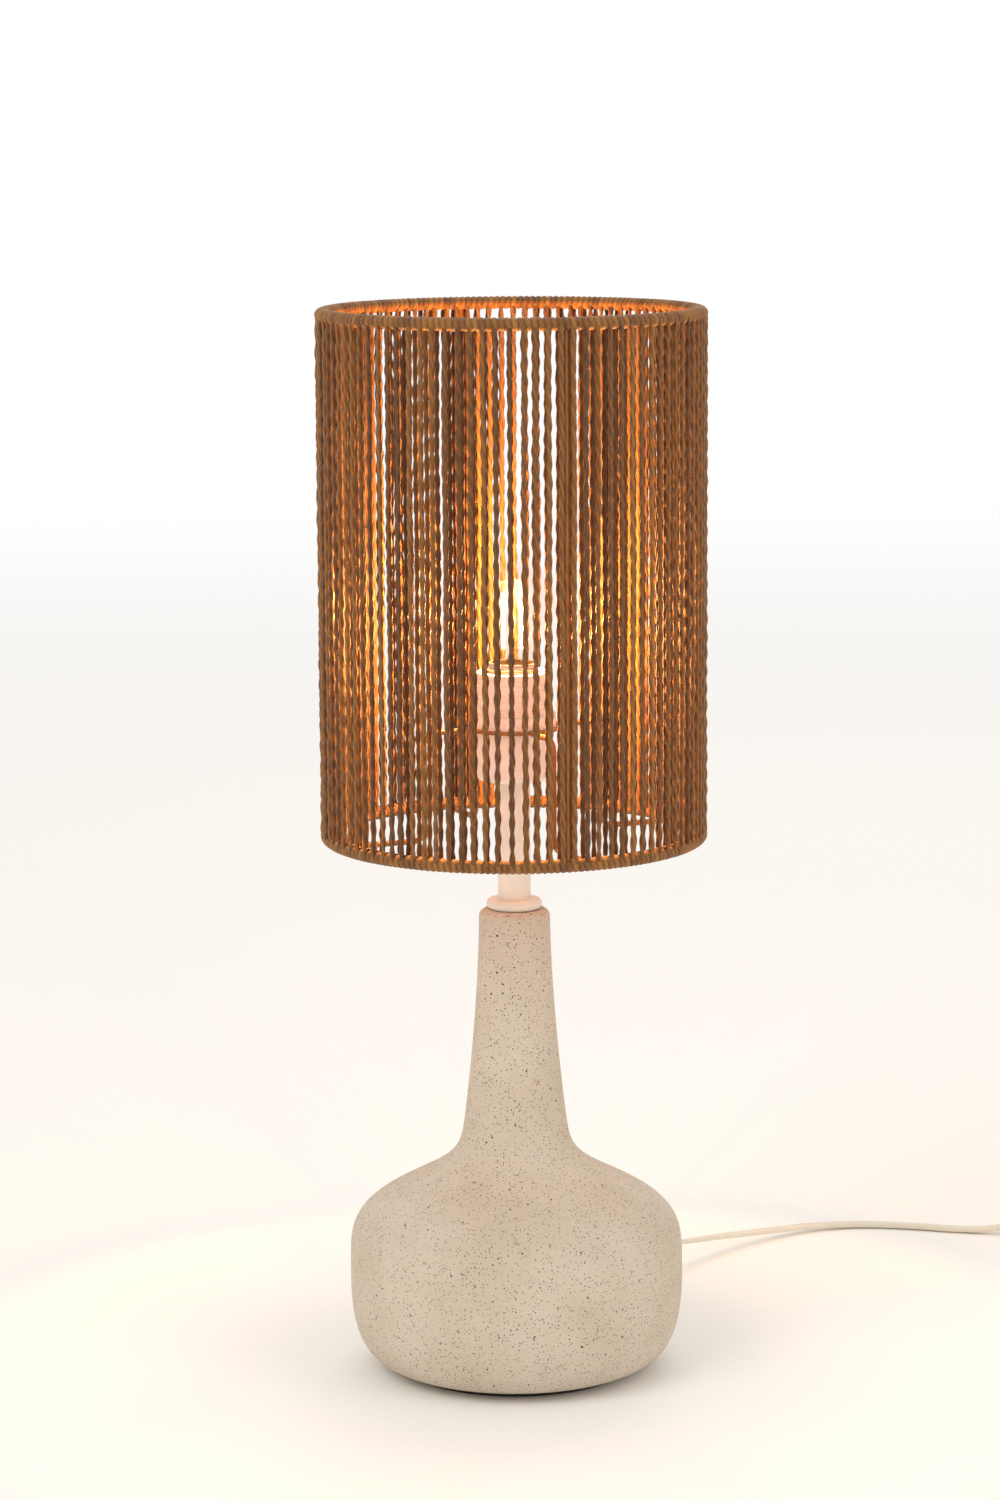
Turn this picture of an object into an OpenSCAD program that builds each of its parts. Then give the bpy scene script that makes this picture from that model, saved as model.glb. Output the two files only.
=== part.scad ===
/* [Stoneware base] */
// Height of the stoneware body from its foot to the top of the neck
body_height = 242.4; // [220:1:270]
// Largest radius of the body
body_radius = 87; // [78:1:96]
// Height above the foot at which the body is widest
body_widest_at = 50; // [42:1:58]
// Reach of the shoulder above the widest height
shoulder_reach = 50.5; // [46:0.5:56]
// How suddenly the shoulder turns into the neck
shoulder_turn = 4.4; // [3.6:0.1:5.2]
// Radius of the neck at its top
neck_radius = 18.4; // [17:0.1:22]
// How much wider the neck is at its root than at its top
neck_spread = 9.5; // [6:0.5:12]
// Radius of the rounded lip of the neck
lip_round = 4; // [2:0.5:5]
// Thickness of the stoneware wall
wall = 6; // [4:0.5:7]
// Thickness of the stoneware floor
floor_thickness = 6; // [4:0.5:8]
// Radius of the opening in the stoneware floor
floor_opening = 42; // [34:1:48]
// Radius of the recess in the foot that takes the base cover
foot_recess = 52; // [50:1:56]

/* [Base cover and pad] */
// Thickness of the felt pad
felt_thickness = 1.6; // [1:0.1:3]
// Radius of the felt pad
felt_radius = 60; // [56:1:64]
// Thickness of the base cover
cover_thickness = 3; // [2:0.5:4]

/* [Neck hardware] */
// Outer radius of the threaded pipe
pipe_radius = 5; // [4.5:0.1:5.5]
// Bore radius of the threaded pipe
pipe_bore = 3.9; // [3.6:0.1:4]
// Length of the pipe below the top of the neck
pipe_below = 26; // [22:1:32]
// Radius of the disc on the neck
disc_radius = 14.5; // [12:0.5:17]
// Thickness of the disc on the neck
disc_thickness = 5.4; // [4:0.2:7]
// Outer radius of the plain tube
tube_radius = 8.5; // [7.5:0.1:10]
// Height of the plain tube
tube_height = 62.5; // [50:0.5:80]

/* [Lampholder] */
// Outer radius of the lower cap of the holder
cap_radius = 19.6; // [18.8:0.1:21]
// Height of the lower cap of the holder
cap_height = 26; // [24:0.5:30]
// Radius of the threaded upper shell of the holder
shell_radius = 18.6; // [18:0.1:19]
// Height of the upper shell of the holder
shell_height = 30; // [28:1:34]
// Wall of the holder's plastic parts
holder_wall = 1.8; // [1.4:0.1:2.2]
// Outer radius of the ring that clamps the shade
ring_radius = 22; // [21:0.5:25]
// Height of the ring that clamps the shade
ring_height = 6.5; // [5:0.5:9]

/* [Bulb] */
// Radius of the glass globe
globe_radius = 22.5; // [20:0.5:25]
// Radius of the screw cap of the bulb
bulb_cap_radius = 13; // [12.8:0.1:13.2]
// Height of the screw cap of the bulb
bulb_cap_height = 22; // [20:0.5:24]
// Distance from the bulb's contact to the top of its globe
bulb_length = 78; // [74:1:84]
// Number of glowing filaments
filaments = 4; // [2:1:6]

/* [Shade] */
// Radius of the shade over the cord
shade_radius = 100; // [90:1:112]
// Height of the shade over its bound rims
shade_height = 275; // [250:1:300]
// Height of the shade's lower rim above the table
shade_bottom = 280; // [276:1:284]
// Radius of the cord that is strung on the shade
strand_radius = 1.4; // [1:0.1:1.5]
// Radius of the bound rim
rim_radius = 3.5; // [3.3:0.1:3.8]
// Radius of the wire of the shade's rings and struts
wire_radius = 1.5; // [1.2:0.1:1.6]
// Number of panels that the cord is divided into
panels = 16; // [12:4:20]
// Strands of each layer in one panel
strands_per_panel = 6; // [4:1:6]
// Distance from the axis at which the fitter's arms bend down
arm_bend = 50; // [44:1:60]

/* [Cord] */
// Width of the flat twin cord
cord_width = 6.5; // [6:0.1:7]
// Thickness of the flat twin cord
cord_thickness = 3.3; // [3:0.1:3.5]
// Height of the cord outlet above the table
outlet_height = 24; // [22:0.5:28]
// Direction of the cord outlet round the lamp's axis
outlet_angle = 66; // [60:1:72]

/* [In-line switch] */
// Length of the in-line switch
switch_length = 62; // [58:1:66]
// Width of the in-line switch
switch_width = 21; // [19:0.5:24]
// Height of the in-line switch
switch_height = 15; // [14:0.5:18]

/* [Plug] */
// Width of the plug across its blades
plug_width = 24; // [22:0.5:28]
// Thickness of the plug
plug_thickness = 14; // [12:0.5:16]
// Length of the plug's blades
blade_length = 16; // [15:0.5:18]

/* [Hidden] */

$fn = 64;

// Clearance of a free fit, on the radius
free_fit = 0.3;
// Clearance of a close fit, on the radius
close_fit = 0.05;
// Clearance between pieces that turn on each other
turn_gap = 0.3;

// Levels of the base, from the table up
foot_z = felt_thickness;
neck_z = foot_z + body_height;
recess_z = foot_z + cover_thickness;
floor_z = recess_z + floor_thickness;
disc_z = neck_z + disc_thickness;
tube_z = disc_z + tube_height;

// The ceiling inside the neck, and the washer and nut that draw the pipe against it
ceiling_thickness = wall + 2;
neck_ceiling = neck_z - ceiling_thickness;
washer_thickness = 1.6;
washer_radius = pipe_radius + 5;
nut_height = 5;
nut_across = 15;

// Levels of the lampholder
cap_z = tube_z + cap_height;
carrier_thickness = 2;
carrier_z = cap_z + carrier_thickness;
shell_z = cap_z + shell_height;
cap_floor = 4;
wiring_room = 9;
insulator_z = tube_z + cap_floor + wiring_room;
insulator_height = 20;
contact_z = insulator_z + insulator_height;
insulator_radius = cap_radius - holder_wall - close_fit;
screw_shell_bore = bulb_cap_radius + free_fit;
screw_shell_wall = 0.5;
pipe_top = tube_z + cap_floor;
terminal_offset = 9;
terminal_radius = 2.2;

// Levels of the bulb
tip_z = contact_z + 2.2;
tip_height = 1.2;
bulb_insulator_height = 2.4;
bulb_cap_z = tip_z + tip_height + bulb_insulator_height;
bulb_neck_z = bulb_cap_z + bulb_cap_height;
globe_z = tip_z + bulb_length - globe_radius;
glass_wall = 0.9;
filament_circle = 7;
filament_radius = 0.9;
filament_low = bulb_neck_z + 8;
filament_length = 27;
filament_top = filament_low + filament_length;
cap_throat = bulb_cap_radius - 1.2;

// The shade's frame
bottom_ring_z = shade_bottom + rim_radius;
top_ring_z = shade_bottom + shade_height - rim_radius;
strand_offset = wire_radius + strand_radius + 0.12;
rim_half_width = strand_offset + strand_radius + 0.1;
ring_line = shade_radius - rim_half_width;
strand_seat = 0.5;
panel_angle = 360 / panels;
strand_step = panel_angle / strands_per_panel;
panel_gap = 0.1;
strut_angles = [-74, 16, 106, 196];
arm_elbow = 6;
// Angle between a strut and the arm beside it
arm_turn = 7.5;
fitter_ring_wall = 4.5;
fitter_bore = shell_radius + turn_gap;

// Foot of the body's outline: how flat its underside is
foot_power = 2.5;
foot_bluntness = 0.115;
neck_power = 1.7;
outline_steps = 34;

// Direction and outlet of the cord
outlet_radius = 4.3;
grommet_wall = 1.5;
grommet_flange = 6.6;
grommet_reach = 3;
outlet_face = body_radius + 1.6;
outlet_inner = body_radius - wall - 6;

// Places of the switch and the plug on the table
switch_start = 306;
cord_line_y = 240;
switch_end = switch_start + switch_length;
switch_mid_z = switch_height / 2;
switch_wall = 1.6;
rocker_length = 15;
rocker_width = 9;
rocker_z = switch_height - 5.2;
pin_radius = 1;

// Points of the cord from its outlet to the switch, chosen by hand
lead_route = [
  [outlet_inner * cos(outlet_angle), outlet_inner * sin(outlet_angle), outlet_height],
  [outlet_face * cos(outlet_angle), outlet_face * sin(outlet_angle), outlet_height],
  [44, 100, 23.6], [56, 122, 22], [70, 144, 19.5], [86, 166, 16.5], [102, 185, 13.2],
  [118, 204, 10], [134, 221, 7], [152, 236, 4.8], [171, 248, 3.4], [192, 255, 2.4],
  [213, 256, 2], [235, 252, 2], [256, 246, 2], [274, 242, 2.8],
  [290, cord_line_y, 5.4], [switch_start, cord_line_y, switch_mid_z]
];

// Points of the cord inside the base, from its outlet up into the holder
inner_start = outlet_inner - 1;
inner_rise = 20;
inner_route = [
  [inner_start * cos(outlet_angle), inner_start * sin(outlet_angle), outlet_height],
  [26, 58, 25], [20, 45, 29], [12.5, 30, 40], [6.5, 17, 58], [2.5, 8, 82],
  [0.6, 3, 108], [0, 1, 136], [0, 0, 166], [0, 0, 200], [0, 0, neck_z - pipe_below],
  [0, 0, pipe_top - inner_rise], [0, 0, pipe_top + 1]
];

// The coil: two layers of loops that spiral in and then out again
coil_loops_per_layer = 3;
coil_step = 7.6;
coil_outer = 46;
coil_rings_per_loop = 24;
coil_turns = 2 * coil_loops_per_layer;
coil_steps = coil_turns * coil_rings_per_loop;
coil_inner = coil_outer - coil_step * (coil_loops_per_layer - 0.5);
coil_layer = cord_thickness + 1.8;
tie_band = 1;
coil_bed_z = cord_thickness / 2 + tie_band + 0.1;
coil_x = switch_end + coil_outer;
coil_centre = [coil_x, cord_line_y - coil_outer, 0];
coil_end_run = 24;
plug_start = coil_x + coil_end_run;
plug_body_length = 24;
relief_length = 26;

// Unit vector along v
function unit(v) = v / norm(v);

// Points of a smooth curve through the route, with a number of steps between points
function smooth(route, steps) = [
  for (i = [0 : len(route) - 2], k = [0 : steps - 1])
    let (
      a = route[max(i - 1, 0)], b = route[i], c = route[i + 1],
      d = route[min(i + 2, len(route) - 1)], t = k / steps
    )
    0.5 * (2 * b + (c - a) * t + (2 * a - 5 * b + 4 * c - d) * t * t
      + (3 * b - a - 3 * c + d) * t * t * t),
  route[len(route) - 1]
];

// Direction of the curve at its point i
function heading(line, i) = unit(line[min(i + 1, len(line) - 1)] - line[max(i - 1, 0)]);

// Corners of the flat cord's outline: width first, then thickness
function cord_outline(width, thickness, corners) = [
  for (k = [0 : corners - 1])
    let (a = 360 * (k + 0.5) / corners)
    [width / 2 * sign(cos(a)) * pow(abs(cos(a)), 0.8), thickness / 2 * sin(a)]
];

// Tube that carries the outline along the line; side_hint gives the width's direction
module swept(line, outline, hint) {
  sides = len(outline);
  rings = len(line);
  points = [
    for (i = [0 : rings - 1])
      let (
        along = heading(line, i),
        side = unit(cross(along, hint)),
        up = cross(side, along)
      )
      for (p = outline) line[i] + side * p[0] + up * p[1]
  ];
  walls = [
    for (i = [0 : rings - 2], k = [0 : sides - 1])
      let (n = (k + 1) % sides, a = i * sides, b = (i + 1) * sides)
      each [[a + k, b + k, b + n], [a + k, b + n, a + n]]
  ];
  first = [for (k = [1 : sides - 2]) [0, k, k + 1]];
  last_ring = (rings - 1) * sides;
  last = [for (k = [1 : sides - 2]) [last_ring, last_ring + k + 1, last_ring + k]];
  polyhedron(points = points, faces = concat(walls, first, last), convexity = 6);
}

// Radius of the stoneware at a height above its foot
function stone_radius(h) =
  h < body_widest_at
  ? body_radius * pow(1 - pow((body_widest_at - h) / body_widest_at, foot_power), foot_bluntness)
  : let (
      fall = exp(-pow((h - body_widest_at) / shoulder_reach, shoulder_turn)),
      neck = neck_radius + neck_spread * pow((body_height - h) / (body_height / 2), neck_power)
    )
    neck * (1 - fall) + body_radius * fall;

// Heights at which the outline is drawn, closer together at the foot
function outline_height(i, low, high) =
  low + (high - low) * pow(i / outline_steps, 1.15);

// Outline of the stoneware's outside, as a half section
module stone_outline() {
  foot_edge = 0.6;
  top_edge = body_height - lip_round;
  polygon(concat(
    [[0, 0], [stone_radius(foot_edge) - 1.5, 0]],
    [for (i = [0 : outline_steps])
      let (h = outline_height(i, foot_edge, top_edge)) [stone_radius(h), h]],
    [for (a = [15 : 15 : 90])
      [stone_radius(top_edge) - lip_round * (1 - cos(a)), top_edge + lip_round * sin(a)]],
    [[0, body_height]]
  ));
}

// Outline of the hollow in the stoneware
module hollow_outline() {
  low = floor_z - foot_z;
  high = body_height - ceiling_thickness;
  polygon(concat(
    [[0, low]],
    [for (i = [0 : outline_steps])
      let (h = outline_height(i, low, high)) [stone_radius(h) - wall, h]],
    [[0, high]]
  ));
}

module ceramic_base() {
  color("#CFC3B2")
  difference() {
    translate([0, 0, foot_z])
      rotate_extrude($fn = 128)
        difference() {
          stone_outline();
          hollow_outline();
        }
    translate([0, 0, foot_z - 1])
      cylinder(r = foot_recess, h = cover_thickness + 1);
    cylinder(r = floor_opening, h = floor_z + 1);
    translate([0, 0, neck_z - 3 * wall])
      cylinder(r = pipe_radius + free_fit, h = 4 * wall);
    at_outlet(0) cylinder(r = outlet_radius + grommet_wall + close_fit, h = 2 * body_radius);
  }
}

// Places a piece along the cord's outlet, at a distance from the axis
module at_outlet(distance) {
  rotate([0, 0, outlet_angle])
    translate([distance, 0, outlet_height])
      rotate([0, 90, 0])
        children();
}

module base_cover() {
  color("#4A4642")
  translate([0, 0, foot_z])
    difference() {
      cylinder(r = foot_recess - free_fit, h = cover_thickness);
      // Two finger notches in the rim of the cover
      for (side = [0, 180])
        rotate([0, 0, side])
          translate([foot_recess, 0, -1])
            cylinder(r = 5, h = cover_thickness + 2);
    }
}

module felt_pad() {
  color("#3A3430")
  cylinder(r = felt_radius, h = felt_thickness);
}

module pipe() {
  color("#B8B4AC")
  translate([0, 0, neck_z - pipe_below])
    difference() {
      cylinder(r = pipe_radius, h = pipe_top - neck_z + pipe_below);
      translate([0, 0, -1])
        cylinder(r = pipe_bore, h = pipe_top - neck_z + pipe_below + 2);
    }
}

module neck_washer() {
  color("#B8B4AC")
  translate([0, 0, neck_ceiling - washer_thickness])
    difference() {
      cylinder(r = washer_radius, h = washer_thickness);
      translate([0, 0, -1])
        cylinder(r = pipe_radius + close_fit, h = washer_thickness + 2);
    }
}

module neck_nut() {
  color("#B8B4AC")
  translate([0, 0, neck_ceiling - washer_thickness - nut_height])
    difference() {
      cylinder(r = nut_across / sqrt(3), h = nut_height, $fn = 6);
      translate([0, 0, -1])
        cylinder(r = pipe_radius + close_fit, h = nut_height + 2, $fn = 64);
    }
}

module neck_disc() {
  edge = disc_thickness / 2;
  color("#EDE6DA")
  translate([0, 0, neck_z])
    rotate_extrude($fn = 96)
      difference() {
        union() {
          square([disc_radius - edge, disc_thickness]);
          translate([disc_radius - edge, edge])
            circle(r = edge);
        }
        square([2 * (pipe_radius + close_fit), 4 * disc_thickness], center = true);
      }
}

module neck_tube() {
  color("#EDE6DA")
  translate([0, 0, disc_z])
    difference() {
      cylinder(r = tube_radius, h = tube_height);
      translate([0, 0, -1])
        cylinder(r = pipe_radius + close_fit, h = tube_height + 2);
    }
}

module holder_cap() {
  edge = 3;
  color("#F2EEE6")
  translate([0, 0, tube_z])
    difference() {
      union() {
        translate([0, 0, edge])
          cylinder(r = cap_radius, h = cap_height - edge);
        rotate_extrude($fn = 96)
          union() {
            square([cap_radius - edge, edge]);
            translate([cap_radius - edge, edge])
              intersection() {
                circle(r = edge);
                translate([0, -edge])
                  square([edge, edge]);
              }
          }
      }
      translate([0, 0, cap_floor])
        cylinder(r = cap_radius - holder_wall - 1.6, h = cap_height);
      translate([0, 0, insulator_z - tube_z])
        cylinder(r = cap_radius - holder_wall, h = cap_height);
      translate([0, 0, -1])
        cylinder(r = pipe_radius + close_fit, h = cap_floor + 2);
    }
}

module holder_shell() {
  lip = 2;
  color("#F2EEE6")
  difference() {
    translate([0, 0, cap_z])
      cylinder(r = shell_radius, h = shell_height);
    translate([0, 0, cap_z - 1])
      cylinder(r = shell_radius - holder_wall, h = shell_height - lip + 1);
    translate([0, 0, shell_z - lip - 1])
      cylinder(r = screw_shell_bore + screw_shell_wall + free_fit, h = lip + 2);
    // Thread on the outside of the shell, as shallow rings
    for (turn = [0 : 6])
      translate([0, 0, carrier_z + ring_height + 3 + 2.6 * turn])
        rotate_extrude($fn = 96)
          translate([shell_radius, 0])
            circle(r = 0.5, $fn = 6);
  }
}

module holder_insulator() {
  post = 4;
  color("#F5F2EA")
  difference() {
    union() {
      translate([0, 0, insulator_z])
        cylinder(r = insulator_radius, h = cap_z - insulator_z);
      translate([0, 0, cap_z])
        cylinder(r = shell_radius - holder_wall - free_fit, h = contact_z - cap_z);
    }
    // Two passages for the wires and their terminals
    for (side = [-1, 1])
      translate([side * terminal_offset, 0, insulator_z - 1])
        cylinder(r = terminal_radius + close_fit, h = post + 1);
    translate([0, 0, insulator_z - 1])
      cylinder(r = 3, h = post + 1);
  }
}

module terminal_screws() {
  head = 2.4;
  color("#C9A24B")
  for (side = [-1, 1])
    translate([side * terminal_offset, 0, insulator_z - head])
      difference() {
        union() {
          cylinder(r = terminal_radius + 1.2, h = head);
          cylinder(r = terminal_radius, h = head + 4);
        }
        translate([0, 0, -1])
          cube([0.8, 10, 3.2], center = true);
      }
}

module screw_shell() {
  color("#C9A24B")
  translate([0, 0, contact_z])
    difference() {
      cylinder(r = screw_shell_bore + screw_shell_wall, h = shell_z - contact_z);
      translate([0, 0, 0.6])
        cylinder(r = screw_shell_bore, h = shell_z - contact_z);
      translate([0, 0, -1])
        cylinder(r = 7, h = 3);
    }
}

// Strip folded back over itself, whose upper leaf meets the bulb's tip
module centre_contact() {
  strip = 0.4;
  width = 4;
  half_length = 5;
  rise = tip_z - contact_z;
  color("#C9A24B")
  translate([0, -width / 2, contact_z])
    union() {
      translate([-half_length, 0, 0])
        cube([2 * half_length, width, strip]);
      translate([0, 0, rise - strip])
        cube([half_length, width, strip]);
      translate([half_length - strip, 0, 0])
        cube([strip, width, rise]);
    }
}

module shade_ring() {
  ribs = 24;
  color("#F2EEE6")
  translate([0, 0, carrier_z])
    difference() {
      cylinder(r = ring_radius, h = ring_height);
      translate([0, 0, -1])
        cylinder(r = shell_radius + turn_gap, h = ring_height + 2);
      // Grip flutes round the outside
      for (k = [0 : ribs - 1])
        rotate([0, 0, k * 360 / ribs])
          translate([ring_radius + 0.9, 0, 1.2])
            cylinder(r = 1.5, h = ring_height);
    }
}

// Outline of the bulb's glass, as a half section, grown or shrunk by a margin
module globe_outline(margin) {
  union() {
    translate([0, globe_z])
      intersection() {
        circle(r = globe_radius + margin, $fn = 96);
        translate([0, -globe_radius])
          square([2 * globe_radius, 2 * globe_radius]);
      }
    translate([0, bulb_neck_z - 4])
      square([cap_throat + margin, globe_z - globe_radius * 0.78 - bulb_neck_z + 4]);
  }
}

module bulb_glass() {
  color([1, 0.93, 0.8, 0.35])
  difference() {
    rotate_extrude($fn = 96)
      globe_outline(0);
    rotate_extrude($fn = 96)
      globe_outline(-glass_wall);
    translate([0, 0, bulb_neck_z - 6])
      cylinder(r = cap_throat - glass_wall, h = 6);
  }
}

module bulb_stem() {
  disc = filament_circle + 1.4;
  disc_height = 0.8;
  rod = 1.3;
  color([0.95, 0.95, 0.95, 0.5])
  union() {
    translate([0, 0, bulb_neck_z - 3])
      cylinder(r = cap_throat - glass_wall - 0.1, h = 2.6);
    translate([0, 0, bulb_neck_z - 3])
      cylinder(r1 = 5, r2 = 1.6, h = 10);
    translate([0, 0, bulb_neck_z])
      cylinder(r = rod, h = filament_top - bulb_neck_z);
    translate([0, 0, filament_top])
      cylinder(r = disc, h = disc_height);
    translate([0, 0, filament_low - disc_height])
      cylinder(r = disc, h = disc_height);
  }
}

module bulb_filaments() {
  color("#FFD9A0")
  for (k = [0 : filaments - 1])
    rotate([0, 0, 45 + k * 360 / filaments])
      translate([filament_circle, 0, filament_low])
        cylinder(r = filament_radius, h = filament_length);
}

module bulb_cap() {
  color("#C8C8C4")
  translate([0, 0, bulb_cap_z])
    difference() {
      union() {
        cylinder(r1 = bulb_cap_radius - 3, r2 = bulb_cap_radius - 0.6, h = 3);
        translate([0, 0, 3])
          cylinder(r = bulb_cap_radius - 0.6, h = bulb_cap_height - 3);
        // Rounded turns of the screw cap
        for (turn = [0 : 4])
          translate([0, 0, 4.6 + 3.6 * turn])
            rotate_extrude()
              translate([bulb_cap_radius - 0.9, 0])
                circle(r = 0.9);
      }
      translate([0, 0, bulb_cap_height - 5])
        cylinder(r = bulb_cap_radius - 1.15, h = 6);
      translate([0, 0, 1])
        cylinder(r = bulb_cap_radius - 4, h = bulb_cap_height);
    }
}

module bulb_insulator() {
  color("#1C1A1A")
  translate([0, 0, tip_z + tip_height])
    cylinder(r1 = 5.5, r2 = bulb_cap_radius - 3, h = bulb_insulator_height);
}

module bulb_contact() {
  color("#C8C8C4")
  translate([0, 0, tip_z])
    cylinder(r1 = 3.6, r2 = 4.6, h = tip_height);
}

// A closed wire ring of the shade's frame
module wire_ring(z) {
  translate([0, 0, z])
    rotate_extrude($fn = 128)
      translate([ring_line, 0])
        circle(r = wire_radius, $fn = 32);
}

module top_ring() {
  color("#B8B4AC")
  wire_ring(top_ring_z);
}

module bottom_ring() {
  color("#B8B4AC")
  difference() {
    wire_ring(bottom_ring_z);
    fitter_wires();
  }
}

module shade_struts() {
  seat = wire_radius - 0.05;
  color("#B8B4AC")
  for (angle = strut_angles)
    rotate([0, 0, angle])
      translate([ring_line, 0, bottom_ring_z + seat])
        cylinder(r = wire_radius, h = top_ring_z - bottom_ring_z - 2 * seat);
}

module fitter_ring() {
  color("#B8B4AC")
  translate([0, 0, cap_z])
    difference() {
      cylinder(r = fitter_bore + fitter_ring_wall, h = carrier_thickness);
      translate([0, 0, -1])
        cylinder(r = fitter_bore, h = carrier_thickness + 2);
    }
}

// Quarter bend of the arm's wire, from a level run into a vertical one
module wire_bend() {
  rotate([90, 0, 0])
    rotate_extrude(angle = 90, $fn = 64)
      translate([arm_elbow, 0])
        circle(r = wire_radius, $fn = 32);
}

// The four arms: level from the fitter ring, down, then level to the lower ring
module fitter_wires() {
  arm_z = cap_z + wire_radius - 0.5;
  run_in = fitter_bore + fitter_ring_wall;
  for (angle = strut_angles)
    rotate([0, 0, angle + arm_turn]) {
      translate([run_in - 0.5, 0, arm_z])
        rotate([0, 90, 0])
          cylinder(r = wire_radius, h = arm_bend - arm_elbow - run_in + 0.5);
      translate([arm_bend - arm_elbow, 0, arm_z - arm_elbow])
        wire_bend();
      translate([arm_bend, 0, bottom_ring_z + arm_elbow])
        cylinder(r = wire_radius, h = arm_z - bottom_ring_z - 2 * arm_elbow);
      translate([arm_bend + arm_elbow, 0, bottom_ring_z + arm_elbow])
        rotate([0, 180, 0])
          wire_bend();
      translate([arm_bend + arm_elbow, 0, bottom_ring_z])
        rotate([0, 90, 0])
          cylinder(r = wire_radius, h = ring_line - wire_radius - arm_bend - arm_elbow + 0.3);
    }
}

module fitter_arms() {
  color("#B8B4AC")
  difference() {
    fitter_wires();
    fitter_ring();
    wire_ring(bottom_ring_z);
  }
}

// Half section of a bound rim: flat where the strands meet it, round on the other side
module rim_section() {
  edge = rim_radius - 0.3;
  difference() {
    polygon(concat(
      [[rim_half_width, rim_radius], [-rim_half_width, rim_radius]],
      [for (a = [180 : 22.5 : 270]) [-rim_half_width + edge + edge * cos(a), edge * sin(a)]],
      [for (a = [270 : 22.5 : 360]) [rim_half_width - edge + edge * cos(a), edge * sin(a)]]
    ));
    square(2 * wire_radius + 2 * close_fit, center = true);
  }
}

// One panel of the strung cord: both layers of strands and the bound rims
module cord_panel() {
  strand_length = top_ring_z - bottom_ring_z - 2 * (rim_radius - strand_seat);
  for (side = [0, 1])
    translate([0, 0, side == 0 ? bottom_ring_z : top_ring_z])
      rotate([0, 0, panel_gap])
        rotate_extrude(angle = panel_angle - 2 * panel_gap, $fn = 128)
          translate([ring_line, 0])
            mirror([0, side])
              rim_section();
  for (k = [0 : strands_per_panel - 1], layer = [-1, 1])
    rotate([0, 0, (k + 0.5) * strand_step])
      translate([ring_line + layer * strand_offset, 0, bottom_ring_z + rim_radius - strand_seat])
        cylinder(r = strand_radius, h = strand_length, $fn = 24);
}

// Room that the rims leave for a strut and for an arm's end
module frame_passages() {
  passage = wire_radius + 0.1;
  translate([ring_line, 0, bottom_ring_z])
    cylinder(r = passage, h = top_ring_z - bottom_ring_z);
  rotate([0, 0, arm_turn])
    translate([ring_line - 2 * rim_radius, 0, bottom_ring_z])
      rotate([0, 90, 0])
        cylinder(r = passage, h = 2 * rim_radius);
}

module shade_cord() {
  color("#8A5E2C")
  for (k = [0 : panels - 1])
    rotate([0, 0, strut_angles[0] + k * panel_angle])
      if (k % (panels / 4) == 0)
        difference() {
          rotate([0, 0, -panel_angle / 2]) cord_panel();
          frame_passages();
        }
      else
        rotate([0, 0, -panel_angle / 2]) cord_panel();
}

module cord_grommet() {
  color("#2B2826")
  difference() {
    union() {
      at_outlet(outlet_inner)
        cylinder(r = outlet_radius + grommet_wall, h = outlet_face - outlet_inner);
      difference() {
        at_outlet(outlet_face - grommet_reach)
          cylinder(r = grommet_flange, h = grommet_reach);
        translate([0, 0, foot_z])
          rotate_extrude($fn = 128)
            stone_outline();
      }
    }
    at_outlet(outlet_inner - 1)
      cylinder(r = outlet_radius, h = 4 * wall);
  }
}

module inner_cord() {
  color("#E9E3D6")
  swept(smooth(inner_route, 3), cord_outline(cord_width, cord_thickness, 8), [1, 0.001, 0]);
}

module cord_lead() {
  color("#E9E3D6")
  swept(smooth(lead_route, 3), cord_outline(cord_width, cord_thickness, 8), [0, 0, 1]);
}

// Outline of the switch from above, drawn in by a margin
module switch_plan(margin) {
  nose = 9;
  intersection() {
    translate([0, -switch_width / 2 + margin])
      square([switch_length, switch_width - 2 * margin]);
    polygon([
      [margin, -nose / 2 + margin], [nose, -switch_width / 2 + margin],
      [switch_length - nose, -switch_width / 2 + margin], [switch_length - margin, -nose / 2 + margin],
      [switch_length - margin, nose / 2 - margin], [switch_length - nose, switch_width / 2 - margin],
      [nose, switch_width / 2 - margin], [margin, nose / 2 - margin]
    ]);
  }
}

// The passage that both halves of the switch leave for the cord
module cord_passage() {
  for (x = [-1, switch_length - 7])
    translate([x, -cord_width / 2 - 0.1, switch_mid_z - cord_thickness / 2 - 0.1])
      cube([8, cord_width + 0.2, cord_thickness + 0.2]);
}

module at_switch() {
  translate([switch_start, cord_line_y, 0])
    children();
}

module switch_lower() {
  color("#EDE6DA")
  at_switch()
    difference() {
      linear_extrude(height = switch_mid_z)
        switch_plan(0);
      translate([0, 0, switch_wall])
        linear_extrude(height = switch_height)
          switch_plan(switch_wall + 1);
      cord_passage();
    }
}

module switch_upper() {
  color("#EDE6DA")
  at_switch()
    difference() {
      translate([0, 0, switch_mid_z])
        linear_extrude(height = switch_height - switch_mid_z)
          switch_plan(0);
      translate([0, 0, -switch_wall])
        linear_extrude(height = switch_height)
          switch_plan(switch_wall + 1);
      translate([switch_length / 2 - rocker_length / 2 - 0.4, -rocker_width / 2 - 0.4, 0])
        cube([rocker_length + 0.8, rocker_width + 0.8, 2 * switch_height]);
      cord_passage();
      rocker_axis(2 * switch_width) cylinder(r = pin_radius + 0.02, h = 2 * switch_width);
    }
}

// Places a cylinder of a given length on the rocker's axis, across the switch
module rocker_axis(length) {
  translate([switch_length / 2, length / 2, rocker_z])
    rotate([90, 0, 0])
      children();
}

module switch_pin() {
  pin_length = switch_width - 1;
  color("#B8B4AC")
  at_switch()
    rocker_axis(pin_length) cylinder(r = pin_radius, h = pin_length);
}

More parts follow.
